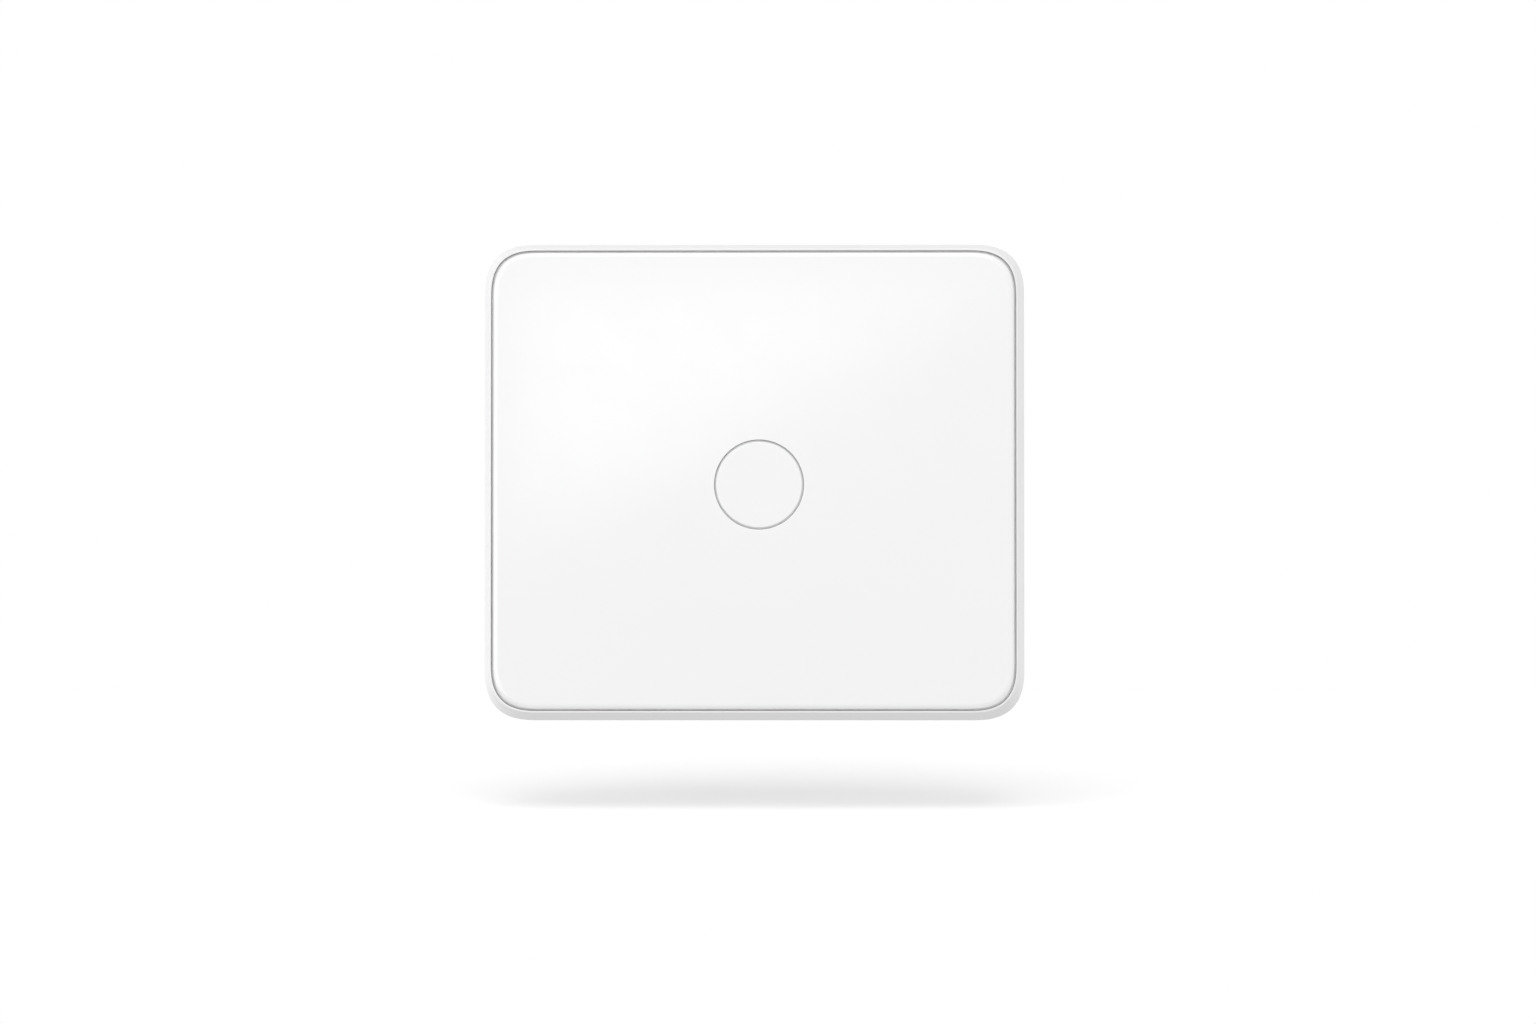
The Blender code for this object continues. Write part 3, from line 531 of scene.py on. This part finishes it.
def make_ethernet_jack(shield_metal, plastic, gold, light):
    x = ETHERNET_X
    can_low, can_back, sheet = 3.6, 5.4, 0.3
    core_low, core_half, core_back = 4.2, 7.5, 4.8
    lamp_x, lamp_height, lamp_depth = 5.55, 5.25, 3.7
    front = JACK_FACE + 0.2

    middle, half = (can_low + JACK_BACK_TOP) / 2, (JACK_BACK_TOP - can_low) / 2
    outer = box_outline(x, middle, 8.1, half, 0.5)
    inner = box_outline(x, middle, 8.1 - sheet, half - sheet, 0.35)
    walls = [(0, front), (0, can_back - sheet), (-sheet, can_back)]
    can = new_object("jack_shield", lambda bm: add_tunnel(bm, outer, walls))
    cut(can, lambda bm: add_tunnel(bm, inner, [(0, front - 1), (0, can_back - sheet)]))
    piece(can, ["ethernet_jack_shield"], shield_metal)

    middle, half = (core_low + JACK_FRONT_TOP) / 2, (JACK_FRONT_TOP - core_low) / 2
    face = box_outline(x, middle, core_half, half, 0.4)
    body = [(-0.15, JACK_FACE), (0, JACK_FACE + 0.15), (0, core_back)]
    core = new_object("jack_core", lambda bm: add_tunnel(bm, face, body))
    shoulder = (x - core_half, JACK_FRONT_TOP - 1, JACK_FACE + JACK_SHOULDER)
    join(core, lambda bm: add_box(bm, shoulder, (x + core_half, JACK_BACK_TOP - 0.6, core_back)))
    cut(core, mouth(box_outline(x, 9.8, 5.9, 3.4, 0.2), -2.5))
    cut(core, mouth(box_outline(x, 6.0, 3.1, 1.1, 0.15), -5.0, 0.2))
    for side in (-1, 1):
        lamp_well = box_outline(x + side * lamp_x, lamp_height, 1.35, 0.65, 0.1)
        cut(core, mouth(lamp_well, JACK_FACE + lamp_depth + 0.3, 0.02))
    piece(core, ["ethernet_jack_core"], plastic)

    for number, side in ((1, -1), (2, 1)):
        outline = box_outline(x + side * lamp_x, lamp_height, 1.05, 0.35, 0.12)
        sections = [(-0.1, JACK_FACE), (0, JACK_FACE + 0.12), (0, JACK_FACE + lamp_depth)]
        lens = new_object(f"jack_lens_{number}", lambda bm: add_tunnel(bm, outline, sections))
        piece(lens, [f"ethernet_light_{number}"], light)
    for number in range(1, 9):
        recolour(f"ethernet_contact_{number}", gold)


def make_power_jack(plastic, metal):
    x = POWER_X
    low, half_width, back = 5.5, 4.5, -1.0
    bore, bore_floor = 3.2, -4.0
    pin, pin_base = 1.0, -4.3

    face = box_outline(x, (low + JACK_FRONT_TOP) / 2, half_width, (JACK_FRONT_TOP - low) / 2, 0.4)
    block = [(-0.2, JACK_FACE), (0, JACK_FACE + 0.2), (0, back)]
    body = new_object("power_socket", lambda bm: add_tunnel(bm, face, block))
    shoulder = (x - half_width, JACK_FRONT_TOP - 1, JACK_FACE + JACK_SHOULDER)
    join(body, lambda bm: add_box(bm, shoulder, (x + half_width, JACK_BACK_TOP, back)))
    hole = [(bore + 0.4, JACK_FACE - 1), (bore + 0.4, JACK_FACE), (bore, JACK_FACE + 0.4), (bore, bore_floor)]
    cut(body, lambda bm: add_turned(bm, (x, BORE_HEIGHT, 0), hole, 64, "z"))
    piece(body, ["power_jack_body"], plastic)

    tip = JACK_FACE + 1.2
    profile = eased([(0, tip, 0), (pin, tip, 0.6), (pin, pin_base, 0), (0, pin_base, 0)])
    centre = new_object("power_pin", lambda bm: add_turned(bm, (x, BORE_HEIGHT, 0), profile, 48, "z"))
    piece(centre, ["power_jack_pin"], metal)
    recolour("power_jack_spring", metal)


# ---------------------------------------------------------------- materials


class Finish:
    """A Principled material, and short ways to give it detail at a real scale."""

    def __init__(self, name, colour, roughness, metallic=0.0, **sockets):
        self.material = bpy.data.materials.new(name)
        self.material.use_nodes = True
        self.nodes = self.material.node_tree.nodes
        self.links = self.material.node_tree.links
        self.shader = self.nodes["Principled BSDF"]
        self.colour = colour
        self.shader.inputs["Base Color"].default_value = (*colour, 1)
        self.shader.inputs["Roughness"].default_value = roughness
        self.shader.inputs["Metallic"].default_value = metallic
        for socket, value in sockets.items():
            title = "IOR" if socket == "ior" else socket.replace("_", " ").title()
            self.shader.inputs[title].default_value = value
        self.place = self.nodes.new("ShaderNodeTexCoord").outputs["Object"]
        self.bump = None

    def stretched(self, x, y, z):
        """The place, scaled by different amounts along each axis."""
        mapping = self.nodes.new("ShaderNodeMapping")
        mapping.inputs["Scale"].default_value = (x, y, z)
        self.links.new(self.place, mapping.inputs["Vector"])
        return mapping.outputs["Vector"]

    def noise(self, size, detail=2.0, vector=None, roughness=0.5):
        """Noise whose blots are about this many millimetres across."""
        made = self.nodes.new("ShaderNodeTexNoise")
        made.inputs["Scale"].default_value = 1 / (size * MM)
        made.inputs["Detail"].default_value = detail
        made.inputs["Roughness"].default_value = roughness
        self.links.new(vector or self.place, made.inputs["Vector"])
        return made.outputs["Fac"]

    def cells(self, size):
        """The distance from the middles of cells about this many millimetres across."""
        made = self.nodes.new("ShaderNodeTexVoronoi")
        made.inputs["Scale"].default_value = 1 / (size * MM)
        self.links.new(self.place, made.inputs["Vector"])
        return made.outputs["Distance"]

    def ranged(self, value, low, high, from_low=0.3, from_high=0.7):
        """The value, mapped from one range to another."""
        made = self.nodes.new("ShaderNodeMapRange")
        made.inputs["From Min"].default_value = from_low
        made.inputs["From Max"].default_value = from_high
        made.inputs["To Min"].default_value = low
        made.inputs["To Max"].default_value = high
        self.links.new(value, made.inputs["Value"])
        return made.outputs["Result"]

    def vary_roughness(self, value, low, high):
        """Runs the roughness from low to high with the value."""
        self.links.new(self.ranged(value, low, high), self.shader.inputs["Roughness"])

    def vary_colour(self, value, other, from_low=0.3, from_high=0.7):
        """Runs the colour towards another with the value."""
        made = self.nodes.new("ShaderNodeMix")
        made.data_type = "RGBA"
        made.inputs["A"].default_value = (*self.colour, 1)
        made.inputs["B"].default_value = (*other, 1)
        self.links.new(self.ranged(value, 0.0, 1.0, from_low, from_high), made.inputs["Factor"])
        self.links.new(made.outputs["Result"], self.shader.inputs["Base Color"])

    def raise_by(self, value, depth):
        """Adds relief of this depth in millimetres."""
        made = self.nodes.new("ShaderNodeBump")
        made.inputs["Distance"].default_value = depth * MM
        self.links.new(value, made.inputs["Height"])
        if self.bump:
            self.links.new(self.bump, made.inputs["Normal"])
        self.bump = made.outputs["Normal"]
        self.links.new(self.bump, self.shader.inputs["Normal"])

    def see_through_from_below(self):
        """Lets the underside of a sheet be looked through, so that a view from below isn't blocked."""
        clear = self.nodes.new("ShaderNodeBsdfTransparent")
        mix = self.nodes.new("ShaderNodeMixShader")
        self.links.new(self.nodes.new("ShaderNodeNewGeometry").outputs["Backfacing"], mix.inputs[0])
        self.links.new(self.shader.outputs[0], mix.inputs[1])
        self.links.new(clear.outputs[0], mix.inputs[2])
        self.links.new(mix.outputs[0], self.nodes["Material Output"].inputs["Surface"])


def shade(colour, factor):
    return tuple(channel * factor for channel in colour)


def gloss_white():
    """Polished white moulding: a slow ripple from the mould and hairline polishing marks."""
    colour = (0.88, 0.88, 0.885)
    made = Finish("gloss_white", colour, 0.09, ior=1.5, subsurface_weight=0.05, subsurface_scale=0.001)
    made.shader.inputs["Subsurface Radius"].default_value = (1.0, 0.95, 0.9)
    made.vary_roughness(made.noise(6, 3), 0.07, 0.11)
    made.vary_colour(made.noise(35, 2), shade(colour, 0.992))
    made.raise_by(made.noise(14, 1), 0.004)
    return made.material


def satin_white():
    """Fine spark-eroded moulding."""
    colour = (0.805, 0.805, 0.81)
    made = Finish("satin_white", colour, 0.34, ior=1.48)
    made.vary_roughness(made.noise(4, 3), 0.30, 0.38)
    made.vary_colour(made.noise(25, 3), shade(colour, 0.985))
    made.raise_by(made.noise(0.35, 4), 0.004)
    made.raise_by(made.noise(18, 1), 0.01)
    return made.material


def button_white():
    """Polished like the panel, and a little duller from use."""
    colour = (0.87, 0.87, 0.875)
    made = Finish("button_white", colour, 0.13, ior=1.5)
    made.vary_roughness(made.noise(3, 3), 0.11, 0.15)
    made.vary_colour(made.noise(8, 2), shade(colour, 0.993))
    made.raise_by(made.noise(0.25, 2), 0.0015)
    return made.material


def cover_white():
    """Coarse matte moulding."""
    colour = (0.82, 0.82, 0.825)
    made = Finish("cover_white", colour, 0.5, ior=1.48)
    made.vary_roughness(made.noise(3, 3), 0.45, 0.58)
    made.vary_colour(made.noise(20, 3), shade(colour, 0.975))
    made.raise_by(made.noise(0.45, 5, roughness=0.65), 0.02)
    return made.material


def grey_rubber():
    """Soft dull rubber with blooming."""
    colour = (0.50, 0.51, 0.52)
    made = Finish("grey_rubber", colour, 0.8, ior=1.5)
    made.vary_roughness(made.noise(1.5, 4), 0.7, 0.9)
    made.vary_colour(made.noise(2.5, 5), shade(colour, 0.86))
    made.raise_by(made.noise(0.3, 4), 0.03)
    return made.material


def metal(name, colour, roughness):
    """Plated sheet with a fine rolled grain."""
    made = Finish(name, colour, roughness, 1.0)
    brushed = made.noise(1000, 3, made.stretched(40, 40, 4000))
    made.vary_roughness(brushed, roughness * 0.75, roughness * 1.35)
    made.vary_colour(made.noise(3, 4), shade(colour, 0.86))
    made.raise_by(brushed, 0.002)
    return made.material


def plastic(name, colour, roughness, grain=0.3, depth=0.006, other=1.35):
    """Moulded plastic with a grain of this size and depth, mottled towards another shade."""
    made = Finish(name, colour, roughness, ior=1.5)
    made.vary_roughness(made.noise(2, 3), roughness * 0.85, roughness * 1.2)
    made.vary_colour(made.noise(4, 4), shade(colour, other))
    made.raise_by(made.noise(grain, 3), depth)
    return made.material


def solder_mask():
    """Green board with the faint lines of its copper under the mask."""
    made = Finish("solder_mask", (0.02, 0.16, 0.07), 0.3, ior=1.5, coat_weight=0.3)
    tracks = made.ranged(made.cells(2.2), 0.0, 1.0, 0.25, 0.32)
    made.vary_colour(tracks, (0.03, 0.24, 0.10), 0.0, 1.0)
    made.vary_roughness(made.noise(1.2, 3), 0.22, 0.38)
    made.raise_by(tracks, 0.012)
    return made.material


def label_silver():
    """Brushed silver film."""
    colour = (0.72, 0.73, 0.74)
    made = Finish("label_silver", colour, 0.42, 0.25)
    fibre = made.noise(1000, 3, made.stretched(60, 1000, 3000))
    made.vary_roughness(fibre, 0.36, 0.5)
    made.vary_colour(fibre, shade(colour, 0.94))
    made.raise_by(fibre, 0.003)
    return made.material


def clear_lens():
    """Slightly cloudy, warm light pipe."""
    colour = (0.88, 0.86, 0.74)
    made = Finish("clear_lens", colour, 0.18, ior=1.5, transmission_weight=0.35)
    made.vary_roughness(made.noise(0.8, 2), 0.14, 0.24)
    made.vary_colour(made.noise(1.0, 3), shade(colour, 0.93))
    made.raise_by(made.noise(0.6, 2), 0.004)
    return made.material


# ---------------------------------------------------------------- studio

LENS = 150.0
CAMERA_TURN = 0.65  # degrees to the right of straight on
CAMERA_DIP = 1.38  # degrees below level
CAMERA_DISTANCE = 1383.5
AIM_X, AIM_Z = 3.13, -6.83  # where the frame's centre falls on the front panel

# Each light's level, its slope along x, y and z, and its change away from the middle along each of them
SOFT_LIGHT = (0.888, (-0.05, -0.08, 0.03), (0.0, 0.0, 0.0))
REFLECTED_LIGHT = (0.90, (-0.30, 0.0, 0.40), (0.64, 0.0, -0.87))
SEEN_LIGHT = (1.0, (0.0, 0.0, 0.0), (0.0, 0.0, 0.0))
DIMMEST = 0.45

KEY_PLACE = (-105, 470, 1000)
KEY_TARGET = (0, 13, 0)
KEY_SIZE = (1100, 850)
KEY_POWER = 3.4

FLOOR_DROP = 17.2  # the floor, below the hub's lower edge
FLOOR_SLOPE = 5.0  # degrees
FLOOR_FRONT, FLOOR_BACK, FLOOR_HALF = 150.0, 260.0, 420.0

# The card's glow, in places on the front that mirror it
CARD_HALF_X, CARD_HALF_Z = 75.0, 65.0
GLOW_MIDDLE, GLOW_SLOPE = 18.0, 0.53  # its lower edge's z at the middle, and that edge's rise to the right
GLOW_FADE = (-13, 6)  # from dark to bright across that edge
GLOW_LEFT = (-57, -45)
GLOW_TOP = (50, 38)
GLOW_LEAST = 0.15
GLOW_RISE = 0.05
CARD_DIM, CARD_GAIN = 0.9, 2.4

STRIP_RADIUS, STRIP_HALF = 700.0, 260.0
STRIP_FIRST, STRIP_LAST, STRIP_STEPS = radians(14), radians(95), 24
LEFT_POWER, UPPER_POWER = 3.0, 1.9


def camera_place():
    """The camera, as (x, height, z) on the hub's scale."""
    turn, dip = radians(CAMERA_TURN), radians(CAMERA_DIP)
    return (
        AIM_X + CAMERA_DISTANCE * sin(turn) * cos(dip),
        DEPTH + CAMERA_DISTANCE * cos(turn) * cos(dip),
        AIM_Z - CAMERA_DISTANCE * sin(dip),
    )


def aim(target, spot, at):
    """Puts a camera or light at a place and turns it to another."""
    target.location = place(*spot)
    target.rotation_mode = "QUATERNION"
    target.rotation_quaternion = (place(*at) - target.location).to_track_quat("-Z", "Y")


def make_camera():
    data = bpy.data.cameras.new("camera")
    data.lens = LENS
    camera = bpy.data.objects.new("camera", data)
    bpy.context.scene.collection.objects.link(camera)
    aim(camera, camera_place(), (AIM_X, DEPTH, AIM_Z))
    bpy.context.scene.camera = camera


def make_world():
    """White to the camera. The light is brighter from the left, and reflections are darker low down."""
    world = bpy.data.worlds.new("studio")
    world.use_nodes = True
    bpy.context.scene.world = world
    nodes, links = world.node_tree.nodes, world.node_tree.links
    nodes.clear()
    direction = nodes.new("ShaderNodeTexCoord").outputs["Generated"]
    rays = nodes.new("ShaderNodeLightPath")

    def along(vector, weights):
        product = nodes.new("ShaderNodeVectorMath")
        product.operation = "DOT_PRODUCT"
        product.inputs[1].default_value = weights
        links.new(vector, product.inputs[0])
        return product.outputs["Value"]

    def add(first, second):
        total = nodes.new("ShaderNodeMath")
        links.new(first, total.inputs[0])
        if isinstance(second, float):
            total.inputs[1].default_value = second
        else:
            links.new(second, total.inputs[1])
        return total.outputs[0]

    def light(level, slope, spread):
        """A background whose strength changes across the sky."""
        away = nodes.new("ShaderNodeVectorMath")
        away.operation = "ABSOLUTE"
        links.new(direction, away.inputs[0])
        strength = add(add(along(direction, slope), along(away.outputs["Vector"], spread)), level)
        limited = nodes.new("ShaderNodeMath")
        limited.operation = "MAXIMUM"
        limited.inputs[1].default_value = DIMMEST
        links.new(strength, limited.inputs[0])
        background = nodes.new("ShaderNodeBackground")
        background.inputs["Color"].default_value = (1, 1, 1, 1)
        links.new(limited.outputs[0], background.inputs["Strength"])
        return background.outputs[0]

    def choose(ray, usual, other):
        mix = nodes.new("ShaderNodeMixShader")
        links.new(rays.outputs[ray], mix.inputs[0])
        links.new(usual, mix.inputs[1])
        links.new(other, mix.inputs[2])
        return mix.outputs[0]

    lit = choose("Is Glossy Ray", light(*SOFT_LIGHT), light(*REFLECTED_LIGHT))
    output = nodes.new("ShaderNodeOutputWorld")
    links.new(choose("Is Camera Ray", lit, light(*SEEN_LIGHT)), output.inputs["Surface"])


def make_floor():
    """A sheet of white card under the hub, which rises slightly to the back."""
    rise = tan(radians(FLOOR_SLOPE))
    level = -HEIGHT / 2 - FLOOR_DROP
    columns, rows = 12, 16

    def sheet(bm):
        grid = []
        for row in range(rows + 1):
            height = FLOOR_FRONT - (FLOOR_FRONT + FLOOR_BACK) * row / rows
            across = [FLOOR_HALF * (2 * i / columns - 1) for i in range(columns + 1)]
            grid.append([bm.verts.new(place(x, height, level - rise * height)) for x in across])
        add_grid(bm, grid)

    floor = new_object("floor", sheet)
    made = Finish("white_card", (0.975, 0.975, 0.975), 0.9)
    made.vary_roughness(made.noise(5, 4), 0.85, 0.95)
    made.raise_by(made.noise(0.4, 3), 0.01)
    made.see_through_from_below()
    floor.data.materials.append(made.material)
    floor.data.shade_smooth()
    floor.visible_diffuse = False
    floor.visible_glossy = False
    floor.visible_shadow = False


def seen_in_gloss(target, material):
    """Makes an object a light that only glossy surfaces show."""
    target.data.materials.append(material)
    target.visible_camera = False
    target.visible_shadow = False
    target.visible_diffuse = False


def soft(value, start, end):
    """0 before the start and 1 after the end, with a smooth change between them."""
    share = min(max((value - start) / (end - start), 0.0), 1.0)
    return share * share * (3 - 2 * share)


def card_material():
    """Light of the strength that the card's glow attribute says."""
    material = bpy.data.materials.new("card_light")
    material.use_nodes = True
    nodes, links = material.node_tree.nodes, material.node_tree.links
    nodes.clear()
    level = nodes.new("ShaderNodeAttribute")
    level.attribute_name = "glow"
    strength = nodes.new("ShaderNodeMath")
    strength.operation = "MULTIPLY_ADD"
    strength.inputs[1].default_value = CARD_GAIN
    strength.inputs[2].default_value = CARD_DIM
    links.new(level.outputs["Fac"], strength.inputs[0])
    emission = nodes.new("ShaderNodeEmission")
    links.new(strength.outputs[0], emission.inputs["Strength"])
    output = nodes.new("ShaderNodeOutputMaterial")
    links.new(emission.outputs[0], output.inputs["Surface"])
    return material


def make_reflection_card():
    """A softly edged light that the glossy front mirrors in its upper left half."""
    camera_x, camera_height, camera_z = camera_place()
    steps = 80
    glows = []

    def glow(x, z):
        inside = soft(x, *GLOW_LEFT) * soft(-z, -GLOW_TOP[0], -GLOW_TOP[1])
        inside = GLOW_LEAST + (1 - GLOW_LEAST) * inside
        return inside * soft(z - GLOW_MIDDLE - GLOW_SLOPE * x, *GLOW_FADE) + GLOW_RISE * z / CARD_HALF_Z

    def sheet(bm):
        """Each vertex lies where a ray from the camera goes on to from its place on the front."""
        grid = []
        for row in range(steps + 1):
            z = CARD_HALF_Z * (2 * row / steps - 1)
            line = []
            for column in range(steps + 1):
                x = CARD_HALF_X * (2 * column / steps - 1)
                line.append(bm.verts.new(place(2 * x - camera_x, camera_height, 2 * z - camera_z)))
                glows.append(glow(x, z))
            grid.append(line)
        add_grid(bm, grid)

    card = new_object("reflection_card", sheet)
    card.data.attributes.new("glow", "FLOAT", "POINT").data.foreach_set("value", glows)
    seen_in_gloss(card, card_material())


def make_strip(name, roll, power):
    """A long curved light beside the camera, which gives the rounded edges their bright line."""

    def sheet(bm):
        turns = [STRIP_FIRST + (STRIP_LAST - STRIP_FIRST) * i / STRIP_STEPS for i in range(STRIP_STEPS + 1)]
        edges = []
        for across in (-STRIP_HALF, STRIP_HALF):
            line = []
            for turn in turns:
                out = STRIP_RADIUS * sin(turn)
                x = across * sin(roll) - out * cos(roll)
                z = across * cos(roll) + out * sin(roll)
                line.append(bm.verts.new(place(x, DEPTH + STRIP_RADIUS * cos(turn), z)))
            edges.append(line)
        add_grid(bm, edges)

    strip = new_object(name, sheet)
    material = bpy.data.materials.new(f"{name}_light")
    material.use_nodes = True
    shader = material.node_tree.nodes["Principled BSDF"]
    shader.inputs["Base Color"].default_value = (0, 0, 0, 1)
    shader.inputs["Emission Color"].default_value = (1, 1, 1, 1)
    shader.inputs["Emission Strength"].default_value = power
    seen_in_gloss(strip, material)


def make_key_light():
    """A broad light high in front, which casts the shadow."""
    data = bpy.data.lights.new("key", "AREA")
    data.shape = "RECTANGLE"
    data.size, data.size_y = KEY_SIZE[0] * MM, KEY_SIZE[1] * MM
    data.energy = KEY_POWER
    key = bpy.data.objects.new("key", data)
    bpy.context.scene.collection.objects.link(key)
    aim(key, KEY_PLACE, KEY_TARGET)


def make_studio():
    make_world()
    make_floor()
    make_reflection_card()
    make_strip("left_strip", 0, LEFT_POWER)
    make_strip("upper_strip", radians(90), UPPER_POWER)
    make_key_light()
    view = bpy.context.scene.view_settings
    view.view_transform = "Standard"
    view.look = "None"


# ---------------------------------------------------------------- the hub


def make_hub():
    black = plastic("black_plastic", (0.022, 0.022, 0.023), 0.4)
    tin = metal("tin_plate", (0.74, 0.73, 0.70), 0.24)
    gold = metal("gold_plate", (0.83, 0.63, 0.28), 0.2)
    rubber = grey_rubber()
    lens = clear_lens()

    make_shell(satin_white())
    make_panel(gloss_white())
    make_button(button_white())
    make_cover(cover_white())
    make_feet(rubber)
    make_label(label_silver())
    make_ethernet_jack(tin, black, gold, lens)
    make_power_jack(black, tin)

    # The pieces that keep their CAD shape, by the record's material slots
    finishes = {
        "board_green": solder_mask(),
        "chip_black": plastic("chip_epoxy", (0.03, 0.03, 0.033), 0.5, grain=0.15, depth=0.01),
        "black_plastic": black,
        "ferrite": plastic("ferrite_core", (0.11, 0.11, 0.12), 0.6, grain=0.2, depth=0.02),
        "can_aluminium": metal("bright_can", (0.80, 0.81, 0.82), 0.3),
        "diffuser": plastic("frosted_diffuser", (0.70, 0.71, 0.73), 0.4, grain=0.2, other=0.95),
        "screw_steel": metal("zinc_steel", (0.60, 0.61, 0.63), 0.32),
        "tinned_steel": tin,
        "foot_rubber": rubber,
        "lamp_clear": lens,
    }
    for row in frame["record"]["subparts"]:
        node = frame["nodes"][row["node"]]
        if not node.hide_render and row["material_slot"] in finishes:
            recolour(row["node"], finishes[row["material_slot"]])


make_camera()
make_hub()
make_studio()
